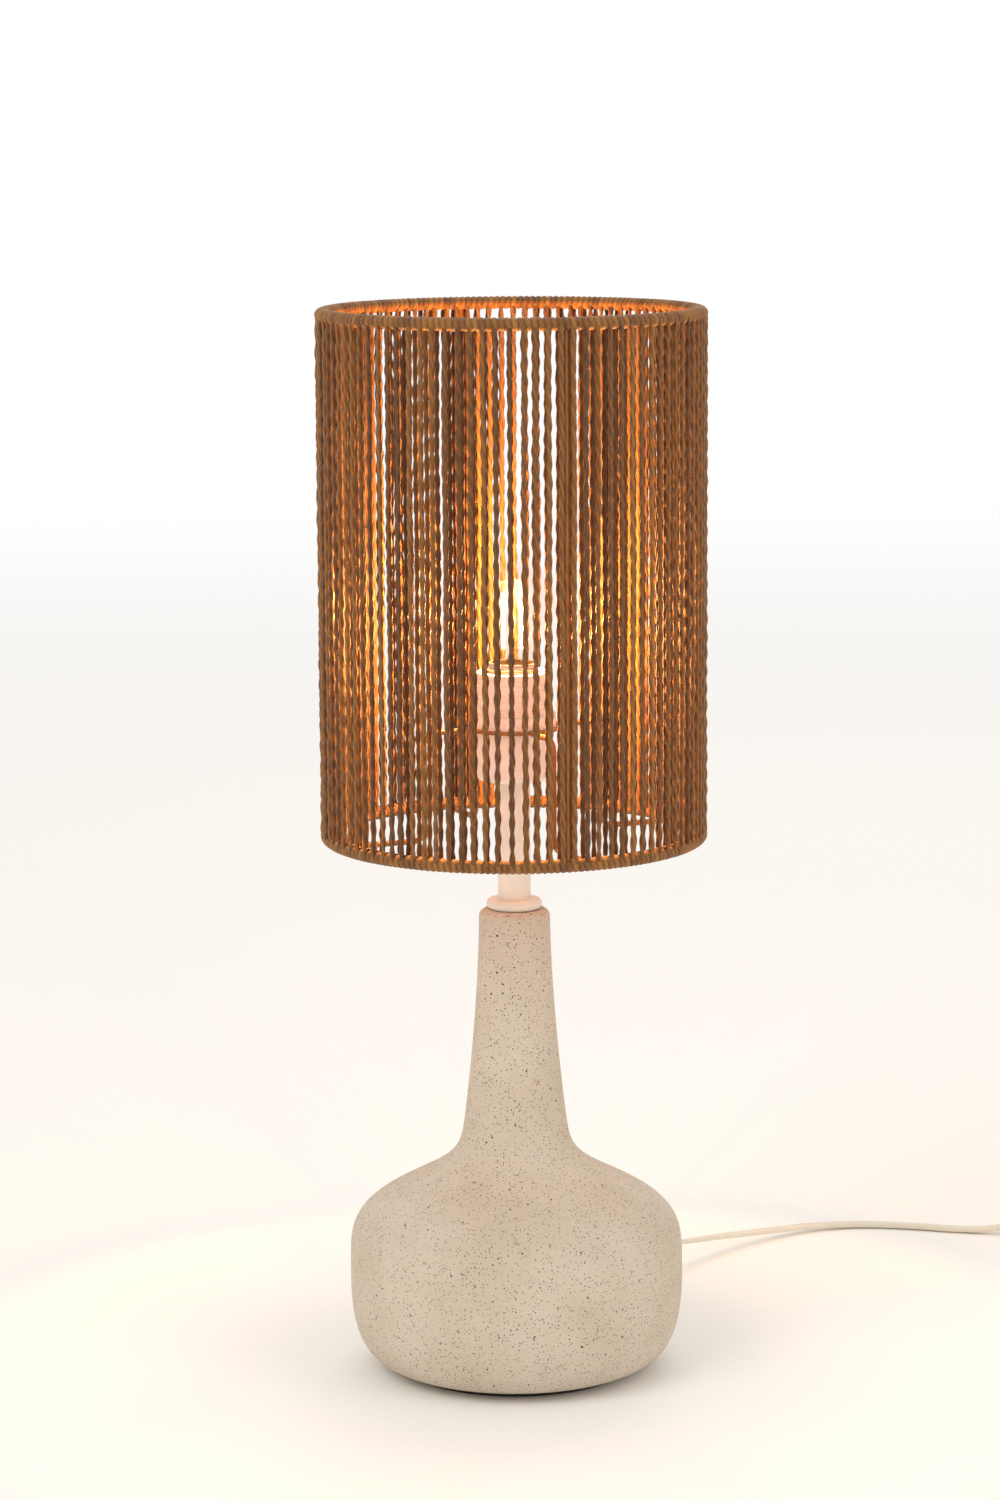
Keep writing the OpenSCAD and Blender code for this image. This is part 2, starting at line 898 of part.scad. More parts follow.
module switch_rocker() {
  hollow_radius = 16;
  hollow_floor = 5;
  color("#F5F2EA")
  at_switch()
    difference() {
      intersection() {
        translate([switch_length / 2 - rocker_length / 2, -rocker_width / 2, rocker_z - 2.4])
          cube([rocker_length, rocker_width, 9]);
        translate([switch_length / 2, rocker_width / 2, rocker_z])
          rotate([90, 0, 0])
            cylinder(r = rocker_length / 2, h = rocker_width);
        // The top is hollowed between its two raised ends
        difference() {
          translate([0, -rocker_width, 0])
            cube([switch_length, 2 * rocker_width, 2 * switch_height]);
          translate([switch_length / 2, rocker_width, rocker_z + hollow_floor + hollow_radius])
            rotate([90, 0, 0])
              cylinder(r = hollow_radius, h = 2 * rocker_width);
        }
      }
      rocker_axis(2 * rocker_width) cylinder(r = pin_radius + close_fit, h = 2 * rocker_width);
    }
}

// Two screw clamps, one near each end of the switch
module switch_contacts() {
  clamp = [8, 6, 5];
  inset = 10;
  color("#C9A24B")
  at_switch()
    for (x = [inset, switch_length - inset - clamp[0]])
      translate([x, -clamp[1] / 2, switch_wall])
        difference() {
          cube(clamp);
          translate([clamp[0] / 2, clamp[1] / 2, 1])
            cylinder(r = 1.4, h = clamp[2]);
        }
}

// Radius of the coil's centreline after a number of turns
function coil_radius(turn) = coil_outer - coil_step * min(turn, coil_turns - turn);

// Height of the coil's centreline after a number of turns
function coil_height(turn) =
  coil_bed_z + coil_layer * (turn < coil_loops_per_layer - 0.25 ? 0
    : turn > coil_loops_per_layer + 0.25 ? 1
    : 0.5 - 0.5 * cos(360 * (turn - coil_loops_per_layer + 0.25)));

// Centreline of the coil, from the switch to the plug
coil_line = concat(
  [
    [switch_end, cord_line_y, switch_mid_z],
    [switch_end + cord_width, cord_line_y, switch_mid_z],
    [switch_end + 3 * cord_width, cord_line_y, switch_mid_z - 2.6],
    [switch_end + 5 * cord_width, cord_line_y, coil_bed_z + 0.6]
  ],
  [for (i = [0 : coil_steps])
    let (turn = i / coil_rings_per_loop, a = 90 - 360 * turn, r = coil_radius(turn))
    coil_centre + [r * cos(a), r * sin(a), coil_height(turn)]],
  [
    [plug_start - cord_width, cord_line_y, plug_thickness / 2],
    [plug_start, cord_line_y, plug_thickness / 2]
  ]
);

module cord_coil() {
  color("#E9E3D6")
  swept(coil_line, cord_outline(cord_width, cord_thickness, 6), [0, 0, 1]);
}

// Least gap between rings of the coil that lie at least half a loop apart
coil_gap = min([
  for (i = [0 : len(coil_line) - 1], j = [i + 12 : 1 : len(coil_line) - 1])
    let (d = coil_line[j] - coil_line[i], flat = norm([d[0], d[1]]))
    max(flat - cord_width, abs(d[2]) - cord_thickness)
]);
echo(least_gap_of_the_coil = coil_gap);

module coil_tie() {
  reach = coil_outer - coil_inner + 2 * cord_width;
  tall = coil_layer + cord_thickness + 0.6;
  color("#2B2826")
  translate([coil_centre[0], coil_centre[1] - coil_outer - cord_width, 0])
    translate([-3, 0, 0])
      difference() {
        cube([6, reach, tall + 2 * tie_band]);
        translate([-1, tie_band, tie_band])
          cube([8, reach - 2 * tie_band, tall]);
      }
}

module at_plug() {
  translate([plug_start, cord_line_y, plug_thickness / 2])
    children();
}

module plug_body() {
  corner = 5;
  color("#EDE6DA")
  at_plug() {
    // Tapered relief with grooves
    difference() {
      rotate([0, 90, 0])
        cylinder(r1 = 4, r2 = 6, h = relief_length + 1);
      for (k = [0 : 4])
        translate([4 + 4 * k, 0, 0])
          rotate([0, 90, 0])
            difference() {
              cylinder(r = 9, h = 1.4);
              cylinder(r = 3.7 + 0.3 * k, h = 1.4);
            }
    }
    translate([relief_length, 0, 0])
      intersection() {
        linear_extrude(height = plug_thickness, center = true)
          polygon([
            [0, -6.5], [corner, -plug_width / 2 + 1.5], [plug_body_length, -plug_width / 2],
            [plug_body_length, plug_width / 2], [corner, plug_width / 2 - 1.5], [0, 6.5]
          ]);
        rotate([90, 0, 0])
          linear_extrude(height = 2 * plug_width, center = true)
            polygon([
              [0, -6.5], [corner, -plug_thickness / 2], [plug_body_length, -plug_thickness / 2 + 1.5],
              [plug_body_length, plug_thickness / 2 - 1.5], [corner, plug_thickness / 2], [0, 6.5]
            ]);
      }
  }
}

module plug_blades() {
  blade_pitch = 12.7;
  color("#C9A24B")
  at_plug()
    for (side = [-1, 1])
      translate([relief_length + plug_body_length, side * blade_pitch / 2 - 0.75, -3.2])
        difference() {
          cube([blade_length, 1.5, 6.4]);
          translate([blade_length - 4, 3, 3.2])
            rotate([90, 0, 0])
              cylinder(r = 1.5, h = 6);
        }
}

ceramic_base();
base_cover();
felt_pad();
pipe();
neck_washer();
neck_nut();
neck_disc();
neck_tube();
holder_cap();
holder_shell();
holder_insulator();
screw_shell();
centre_contact();
terminal_screws();
shade_ring();
bulb_glass();
bulb_stem();
bulb_filaments();
bulb_cap();
bulb_insulator();
bulb_contact();
top_ring();
bottom_ring();
shade_struts();
fitter_ring();
fitter_arms();
shade_cord();
cord_grommet();
inner_cord();
cord_lead();
switch_lower();
switch_upper();
switch_rocker();
switch_pin();
switch_contacts();
cord_coil();
coil_tie();
plug_body();
plug_blades();
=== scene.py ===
"""Dresses the ceramic table lamp: its cord shade, its flat cord, its finishes, its light and its camera."""

import logging
import math
from dataclasses import dataclass
from enum import Enum

import bpy
import numpy as np
from mathutils import Matrix, Vector

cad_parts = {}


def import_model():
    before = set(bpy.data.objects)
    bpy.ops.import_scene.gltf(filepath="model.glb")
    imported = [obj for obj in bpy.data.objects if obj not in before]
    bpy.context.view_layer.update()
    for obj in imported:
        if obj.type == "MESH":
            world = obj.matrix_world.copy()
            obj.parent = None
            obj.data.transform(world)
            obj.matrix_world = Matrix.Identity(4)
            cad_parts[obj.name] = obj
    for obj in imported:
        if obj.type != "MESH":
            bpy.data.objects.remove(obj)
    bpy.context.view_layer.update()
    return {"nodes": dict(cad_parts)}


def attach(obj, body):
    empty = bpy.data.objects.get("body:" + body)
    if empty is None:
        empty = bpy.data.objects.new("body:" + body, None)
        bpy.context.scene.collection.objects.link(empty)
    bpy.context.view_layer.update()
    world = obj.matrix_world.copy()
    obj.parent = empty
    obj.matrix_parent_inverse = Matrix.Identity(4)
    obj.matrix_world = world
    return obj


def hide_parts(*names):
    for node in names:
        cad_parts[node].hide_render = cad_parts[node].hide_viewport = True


LOG = logging.getLogger("lamp")
MM = 0.001
SEED = 7


class Layer(Enum):
    """The two layers in which the cord crosses the shade, by their side of the ring."""

    OUTER = 1
    INNER = -1


def linear(hex_colour: str) -> tuple[float, float, float, float]:
    """Turns an sRGB hex colour into linear light.

    Args:
        hex_colour: Six hex digits, with or without a leading hash.

    Returns:
        Red, green, blue and an alpha of one.
    """
    digits = hex_colour.lstrip("#")
    parts = [int(digits[i : i + 2], 16) / 255 for i in (0, 2, 4)]
    turned = [p / 12.92 if p <= 0.04045 else ((p + 0.055) / 1.055) ** 2.4 for p in parts]
    return turned[0], turned[1], turned[2], 1.0


def add(
    tree: bpy.types.NodeTree,
    kind: str,
    settings: dict[str, object] | None = None,
    links: dict[str, bpy.types.NodeSocket] | None = None,
) -> bpy.types.Node:
    """Adds a shader node with its settings and links.

    Args:
        tree: The material's or world's node tree.
        kind: Blender's name of the node.
        settings: Values by socket name, or by property name where no socket has it.
        links: Sockets that feed the node's inputs, by input name.

    Returns:
        The new node.
    """
    node = tree.nodes.new(kind)
    for name, value in (settings or {}).items():
        if name in node.inputs:
            node.inputs[name].default_value = value
        else:
            setattr(node, name, value)
    for name, socket in (links or {}).items():
        tree.links.new(socket, node.inputs[name])
    return node


def ramp(
    tree: bpy.types.NodeTree, source: bpy.types.NodeSocket, stops: list[tuple[float, str]]
) -> bpy.types.NodeSocket:
    """Adds a colour ramp.

    Args:
        tree: The node tree.
        source: What drives the ramp.
        stops: Position and sRGB hex colour of each stop, in order.

    Returns:
        The ramp's colour socket.
    """
    node = add(tree, "ShaderNodeValToRGB", links={"Fac": source})
    elements = node.color_ramp.elements
    while len(elements) < len(stops):
        elements.new(0.5)
    for element, (place, colour) in zip(elements, stops, strict=True):
        element.position = place
        element.color = linear(colour)
    return node.outputs["Color"]


def start_material(name: str) -> tuple[bpy.types.Material, bpy.types.NodeTree, bpy.types.NodeSocket]:
    """Makes an empty material.

    Args:
        name: The material's name.

    Returns:
        The material, its tree and the object coordinates' socket.
    """
    material = bpy.data.materials.new(name)
    material.use_nodes = True
    tree = material.node_tree
    tree.nodes.clear()
    place = add(tree, "ShaderNodeTexCoord").outputs["Object"]
    return material, tree, place


def end_material(tree: bpy.types.NodeTree, shader: bpy.types.Node) -> None:
    """Joins the shader to the material's output."""
    add(tree, "ShaderNodeOutputMaterial", links={"Surface": shader.outputs["BSDF"]})


def bump(
    tree: bpy.types.NodeTree, height: bpy.types.NodeSocket, depth_mm: float, strength: float
) -> bpy.types.NodeSocket:
    """Turns a height into a bumped normal.

    Args:
        tree: The node tree.
        height: The height, from nought to one.
        depth_mm: The depth that a height of one stands for.
        strength: How far the bump shows.

    Returns:
        The normal's socket.
    """
    node = add(
        tree,
        "ShaderNodeBump",
        {"Distance": depth_mm * MM, "Strength": strength},
        {"Height": height},
    )
    return node.outputs["Normal"]


@dataclass(frozen=True)
class Stoneware:
    """Matte sand stoneware with iron specks: a dry, slightly rough skin with no glaze."""

    body: str = "#D3C6B4"
    body_dark: str = "#CBBCA8"
    fleck: str = "#3F2A1C"
    fine_fleck_mm: float = 1.05
    large_fleck_mm: float = 3.0
    fine_share: float = 0.12
    large_share: float = 0.55
    fine_reach: float = 0.34
    large_reach: float = 0.2
    edge_warp_mm: float = 0.35
    clouds_per_m: float = 28.0
    grains_per_m: float = 900.0
    grain_depth_mm: float = 0.12
    roughness: float = 0.82

    def make(self) -> bpy.types.Material:
        """Builds the material: two sizes of flecks over a softly mottled body."""
        material, tree, place = start_material("speckled_stoneware")
        cloud = add(
            tree, "ShaderNodeTexNoise", {"Scale": self.clouds_per_m, "Detail": 3.0}, {"Vector": place}
        )
        base = ramp(tree, cloud.outputs["Fac"], [(0.35, self.body_dark), (0.65, self.body)])
        warp = add(
            tree, "ShaderNodeTexNoise", {"Scale": self.grains_per_m, "Detail": 2.0}, {"Vector": place}
        )
        pushed = add(
            tree, "ShaderNodeVectorMath", {"operation": "MULTIPLY_ADD"}, {"Vector": warp.outputs["Color"]}
        )
        pushed.inputs[1].default_value = (self.edge_warp_mm * MM,) * 3
        tree.links.new(place, pushed.inputs[2])
        skin = bump(tree, warp.outputs["Fac"], self.grain_depth_mm, 0.35)
        colour = base
        for size_mm, reach, share in (
            (self.fine_fleck_mm, self.fine_reach, self.fine_share),
            (self.large_fleck_mm, self.large_reach, self.large_share),
        ):
            cells = add(
                tree,
                "ShaderNodeTexVoronoi",
                {"Scale": 1 / (size_mm * MM), "Randomness": 1.0},
                {"Vector": pushed.outputs["Vector"]},
            )
            split = add(tree, "ShaderNodeSeparateColor", links={"Color": cells.outputs["Color"]})
            size = add(
                tree,
                "ShaderNodeMapRange",
                {"From Min": share, "From Max": 1.0, "To Min": 0.0, "To Max": reach},
                {"Value": split.outputs["Red"]},
            )
            inside = add(tree, "ShaderNodeMath", {"operation": "LESS_THAN"})
            tree.links.new(cells.outputs["Distance"], inside.inputs[0])
            tree.links.new(size.outputs["Result"], inside.inputs[1])
            mixed = add(tree, "ShaderNodeMix", {"data_type": "RGBA"})
            tree.links.new(inside.outputs[0], mixed.inputs["Factor"])
            tree.links.new(colour, mixed.inputs[6])
            mixed.inputs[7].default_value = linear(self.fleck)
            colour = mixed.outputs[2]
        shader = add(
            tree,
            "ShaderNodeBsdfPrincipled",
            {"Roughness": self.roughness, "IOR": 1.5, "Specular IOR Level": 0.35},
            {"Base Color": colour, "Normal": skin},
        )
        end_material(tree, shader)
        return material


@dataclass(frozen=True)
class Coated:
    """A plain coat or moulding: even colour, a faint mottle and a fine orange-peel skin."""

    name: str
    colour: str
    shade: str
    roughness: float
    metallic: float = 0.0
    grain_mm: float = 0.8
    depth_mm: float = 0.02
    coat: float = 0.0
    clouds_per_m: float = 60.0
    roughness_spread: float = 0.12

    def make(self) -> bpy.types.Material:
        """Builds the material from a soft mottle and a fine bump."""
        material, tree, place = start_material(self.name)
        cloud = add(
            tree, "ShaderNodeTexNoise", {"Scale": self.clouds_per_m, "Detail": 4.0}, {"Vector": place}
        )
        grain = add(
            tree, "ShaderNodeTexNoise", {"Scale": 1 / (self.grain_mm * MM), "Detail": 2.0}, {"Vector": place}
        )
        rough = add(
            tree,
            "ShaderNodeMapRange",
            {
                "To Min": self.roughness * (1 - self.roughness_spread),
                "To Max": min(1.0, self.roughness * (1 + self.roughness_spread)),
            },
            {"Value": grain.outputs["Fac"]},
        )
        shader = add(
            tree,
            "ShaderNodeBsdfPrincipled",
            {"Metallic": self.metallic, "Coat Weight": self.coat, "Coat Roughness": 0.15},
            {
                "Base Color": ramp(tree, cloud.outputs["Fac"], [(0.3, self.shade), (0.7, self.colour)]),
                "Roughness": rough.outputs["Result"],
                "Normal": bump(tree, grain.outputs["Fac"], self.depth_mm, 0.4),
            },
        )
        end_material(tree, shader)
        return material


@dataclass(frozen=True)
class PaperCord:
    """Twisted kraft paper cord, dyed honey brown: dull and fibrous, its plies pale on their crowns with
    painted shade in the valleys between them.
    """

    dark: str = "#4C2B0E"
    middle: str = "#87551D"
    pale: str = "#B07A30"
    fibres_across_per_m: float = 1600.0
    fibres_along_per_m: float = 420.0
    fibre_share: float = 0.55
    fibre_depth_mm: float = 0.25
    roughness: float = 0.72

    def make(self) -> bpy.types.Material:
        """Builds the material from each strand's own tone, the painted shade between its plies and its
        fibres.
        """
        material, tree, place = start_material("twisted_paper_cord")
        tone = add(tree, "ShaderNodeAttribute", {"attribute_name": "tone"})
        ply = add(tree, "ShaderNodeAttribute", {"attribute_name": "ply"})
        scale = (self.fibres_across_per_m, self.fibres_across_per_m, self.fibres_along_per_m)
        stretched = add(tree, "ShaderNodeMapping", {"Scale": scale}, {"Vector": place})
        fibre = add(
            tree, "ShaderNodeTexNoise", {"Scale": 1.0, "Detail": 3.0}, {"Vector": stretched.outputs["Vector"]}
        )
        summed = add(tree, "ShaderNodeMath", {"operation": "MULTIPLY_ADD"})
        tree.links.new(fibre.outputs["Fac"], summed.inputs[0])
        summed.inputs[1].default_value = self.fibre_share
        tree.links.new(tone.outputs["Fac"], summed.inputs[2])
        # The ply attribute multiplies in painted shade, darker in the valleys between plies and between
        # wraps.
        ply_shaded = add(tree, "ShaderNodeMath", {"operation": "MULTIPLY"})
        tree.links.new(summed.outputs[0], ply_shaded.inputs[0])
        tree.links.new(ply.outputs["Fac"], ply_shaded.inputs[1])
        shader = add(
            tree,
            "ShaderNodeBsdfPrincipled",
            {
                "Roughness": self.roughness,
                "Sheen Weight": 0.15,
            },
            {
                "Base Color": ramp(
                    tree, ply_shaded.outputs[0], [(0.12, self.dark), (0.42, self.middle), (0.8, self.pale)]
                ),
                "Normal": bump(tree, fibre.outputs["Fac"], self.fibre_depth_mm, 0.6),
            },
        )
        end_material(tree, shader)
        return material


@dataclass(frozen=True)
class ClearGlass:
    """Thin blown glass of the bulb: clear and smooth.

    Its tint is dark and its alpha low, so the light just inside it doesn't whiten it.
    """

    name: str = "bulb_clear_glass"
    tint: str = "#2A2018"
    alpha: float = 0.07

    def make(self) -> bpy.types.Material:
        """Builds the glass as a clear principled shader."""
        material, tree, _ = start_material(self.name)
        shader = add(
            tree,
            "ShaderNodeBsdfPrincipled",
            {
                "Base Color": linear(self.tint),
                "Roughness": 0.02,
                "IOR": 1.45,
                "Alpha": self.alpha,
                "Specular IOR Level": 0.5,
            },
        )
        end_material(tree, shader)
        return material


@dataclass(frozen=True)
class Glow:
    """Phosphor-coated filaments at full light: white hot with a warm edge."""

    colour: str = "#FFC27A"
    strength: float = 45.0

    def make(self) -> bpy.types.Material:
        """Builds the glowing material."""
        material, tree, _ = start_material("glowing_filament")
        shader = add(
            tree,
            "ShaderNodeBsdfPrincipled",
            {
                "Base Color": linear("#FFE0B0"),
                "Roughness": 0.5,
                "Emission Color": linear(self.colour),
                "Emission Strength": self.strength,
            },
        )
        end_material(tree, shader)
        return material


def mesh_object(
    name: str, points: np.ndarray, quads: np.ndarray, values: dict[str, np.ndarray] | None = None
) -> bpy.types.Object:
    """Puts a grid of quads into an object at the origin, smoothly shaded.

    Args:
        name: The object's name.
        points: Corners, one row of three numbers each, in metres.
        quads: Corner numbers, four to a row, anticlockwise seen from outside.
        values: Numbers for each corner, by attribute name.

    Returns:
        The new object.
    """
    mesh = bpy.data.meshes.new(name)
    mesh.from_pydata(points.reshape(-1, 3).tolist(), [], quads.reshape(-1, 4).tolist())
    for key, numbers in (values or {}).items():
        layer = mesh.attributes.new(key, "FLOAT", "POINT")
        layer.data.foreach_set("value", numbers.astype(np.float32).ravel())
    mesh.polygons.foreach_set("use_smooth", np.ones(len(mesh.polygons), bool))
    mesh.update()
    made = bpy.data.objects.new(name, mesh)
    bpy.context.scene.collection.objects.link(made)
    return made


def tube_quads(rings: int, sides: int, closed: bool = False) -> np.ndarray:
    """Corner numbers of a tube's walls.

    Args:
        rings: Rings along the tube.
        sides: Corners of each ring.
        closed: Whether the last ring joins the first.

    Returns:
        One row of four corners for each wall.
    """
    spans = rings if closed else rings - 1
    i, k = np.meshgrid(np.arange(spans), np.arange(sides), indexing="ij")
    j, n = (i + 1) % rings, (k + 1) % sides
    return np.stack([i * sides + k, i * sides + n, j * sides + n, j * sides + k], axis=-1).reshape(-1, 4)


def finish_piece(
    piece: bpy.types.Object, material: bpy.types.Material, body: str, slot: str, *nodes: str
) -> None:
    """Gives a piece its finish and its body, and hides the nodes that it stands for."""
    piece.data.materials.append(material)
    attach(piece, body)
    if nodes:
        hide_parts(*nodes)


@dataclass
class CordShade:
    """The cylinder shade: one twisted paper cord strung up and down over two bound rings."""

    outer_radius: float = 100.0
    bottom: float = 280.0
    height: float = 275.0
    rim_half_height: float = 3.5
    strand_radius: float = 1.4
    wire_radius: float = 1.5
    panels: int = 16
    strands_per_panel: int = 6
    first_strut: float = -74.0
    twist_pitch: float = 9.5
    rings_per_pitch: float = 7.0
    sides: int = 8
    layer_clearance: float = 0.12
    rim_clearance: float = 0.1
    ply_base: float = 0.86
    ply_height: float = 0.24
    ply_limit: float = 1.16
    flattening: float = 0.92
    pitch_spread: tuple[float, float] = (0.88, 1.14)
    long_swell: tuple[float, float] = (0.07, 6.1)
    short_swell: tuple[float, float] = (0.05, 2.3)
    sway_sideways: tuple[float, float] = (0.22, 19.0)
    sway_inward: tuple[float, float] = (0.1, 14.0)
    place_spread: float = 0.05
    tone_spread: float = 0.42
    painted_valley_shade: float = 0.72
    wrap_rings: int = 7
    wrap_sides: int = 20
    wrap_lean: float = 1.6
    wrap_base: float = 0.74
    wrap_height: float = 0.25
    painted_wrap_valley_shade: float = 0.4

    @property
    def offset(self) -> float:
        """Distance of each layer of strands from the ring's own circle."""
        return self.wire_radius + self.strand_radius + self.layer_clearance

    @property
    def ring_line(self) -> float:
        """Radius of the ring's own circle."""
        return self.outer_radius - self.offset - self.strand_radius - self.rim_clearance

    def strand_points(
        self, angles: np.ndarray, layer: Layer, random: np.random.Generator
    ) -> tuple[np.ndarray, np.ndarray, np.ndarray]:
        """Works out the surface of upright two-ply strands.

        A strand's section is a circle whose radius swells with the cosine of twice the angle, less the
        twist that has built up with height, so two rounded plies wind round each other. Slow waves
        in the radius and in the centreline make it as uneven as the real cord.

        Args:
            angles: Each strand's place round the shade, in radians.
            layer: The layer that the strands are in.
            random: The source of the unevenness.

        Returns:
            Corners as an array of strands, rings and sides, each corner's tone, and the painted shade that
            darkens the valleys between the plies.
        """
        low = self.bottom + self.rim_half_height
        high = self.bottom + self.height - self.rim_half_height
        rings = int((high - low) / self.twist_pitch * self.rings_per_pitch)
        count = len(angles)
        z = np.linspace(low, high, rings)[None, :, None]
        around = np.arange(self.sides) / self.sides * 2 * np.pi
        start = random.uniform(0, 2 * np.pi, (count, 1, 1))
        pitch = self.twist_pitch * random.uniform(*self.pitch_spread, (count, 1, 1))
        wave = random.uniform(0, 2 * np.pi, (4, count, 1, 1))
        turned = start - 2 * np.pi * (z - low) / (2 * pitch)
        lobes = np.cos(2 * (around[None, None, :] - turned))
        long_part, short_part, across_part, in_part = (
            size * np.sin(z / length + start_angle)
            for (size, length), start_angle in zip(
                (self.long_swell, self.short_swell, self.sway_sideways, self.sway_inward), wave, strict=True
            )
        )
        swell = 1 + long_part + short_part
        section = self.strand_radius * (self.ply_base + self.ply_height * lobes) * swell
        section = np.minimum(section, self.strand_radius * self.ply_limit)
        held = np.sin(np.pi * np.clip((z - low) / (high - low), 0, 1)) ** 0.3
        sway_across = across_part * held
        sway_in = in_part * held
        centre = self.ring_line + layer.value * self.offset
        out = centre + sway_in + section * np.cos(around)[None, None, :] * self.flattening
        across = sway_across + section * np.sin(around)[None, None, :]
        a = angles[:, None, None]
        points = np.stack(
            [
                out * np.cos(a) - across * np.sin(a),
                out * np.sin(a) + across * np.cos(a),
                np.broadcast_to(z, out.shape),
            ],
            axis=-1,
        )
        tone = np.broadcast_to(random.uniform(0.0, self.tone_spread, (count, 1, 1)), out.shape)
        # Painted shade: the colour darkens towards the valleys between the two plies and is full on their
        # crowns.
        ply = self.painted_valley_shade + (1 - self.painted_valley_shade) * np.clip(lobes, -1, 1)
        return points * MM, tone, np.broadcast_to(ply, out.shape)

    def build_panels(self, paper: bpy.types.Material) -> list[bpy.types.Object]:
        """Builds the strands of each panel as one piece.

        Args:
            paper: The finish of the paper cord.

        Returns:
            One piece for each panel.
        """
        random = np.random.default_rng(SEED)
        step = 2 * np.pi / (self.panels * self.strands_per_panel)
        first = math.radians(self.first_strut) - math.pi / self.panels
        made = []
        for panel in range(self.panels):
            numbers = panel * self.strands_per_panel + np.arange(self.strands_per_panel)
            angles = first + (numbers + 0.5) * step + random.normal(0, self.place_spread, len(numbers)) * step
            parts = [self.strand_points(angles, layer, random) for layer in Layer]
            points = np.concatenate([p[0] for p in parts])
            count, rings, sides = points.shape[:3]
            walls = tube_quads(rings, sides)
            quads = (walls[None] + np.arange(count)[:, None, None] * rings * sides).reshape(-1, 4)
            values = {
                "tone": np.concatenate([p[1] for p in parts]),
                "ply": np.concatenate([p[2] for p in parts]),
            }
            piece = mesh_object(f"shade_strands_{panel + 1:02d}", points, quads, values)
            finish_piece(piece, paper, "shade", "paper_cord", "shade_cord")
            made.append(piece)
        return made

    def build_rims(self, paper: bpy.types.Material) -> list[bpy.types.Object]:
        """Builds the bound rims, where the cord is wrapped side by side round each ring.

        The section is an oval. Its size swells with the rounded ridge of each wrap, and the ridges lean
        a little as they go round the section, as wound turns do.

        Args:
            paper: The finish of the paper cord.

        Returns:
            The lower rim and the upper one.
        """
        wraps = 2 * self.panels * self.strands_per_panel
        rings, sides = wraps * self.wrap_rings, self.wrap_sides
        u = np.arange(rings)[:, None] / rings * 2 * np.pi
        v = np.arange(sides)[None, :] / sides * 2 * np.pi
        random = np.random.default_rng(SEED + 1)
        size = np.repeat(random.uniform(-0.05, 0.04, wraps), self.wrap_rings)[:, None]
        phase = wraps * u + self.wrap_lean * np.sin(v)
        ridge = np.sqrt(np.abs(np.sin(phase / 2))) * (1 + size)
        grow = self.wrap_base + self.wrap_height * ridge
        half_width = self.offset + self.strand_radius + 0.05
        tone = np.repeat(random.uniform(0.02, 0.4, wraps), self.wrap_rings)[:, None]
        made = []
        for name, level in (
            ("shade_rim_bottom", self.bottom + self.rim_half_height),
            ("shade_rim_top", self.bottom + self.height - self.rim_half_height),
        ):
            out = self.ring_line + half_width * grow * np.cos(v)
            z = level + self.rim_half_height * grow * np.sin(v)
            points = np.stack([out * np.cos(u), out * np.sin(u), z], axis=-1) * MM
            # The ply value paints shade into the valleys between the wound wraps, darker there and full on
            # each ridge.
            values = {
                "tone": np.broadcast_to(tone, z.shape),
                "ply": self.painted_wrap_valley_shade + (1 - self.painted_wrap_valley_shade) * np.clip(ridge, 0, 1),
            }
            walls = tube_quads(rings, sides, closed=True)[:, [0, 3, 2, 1]]
            piece = mesh_object(name, points, walls, values)
            finish_piece(piece, paper, "shade", "paper_cord", "shade_cord")
            made.append(piece)
        return made


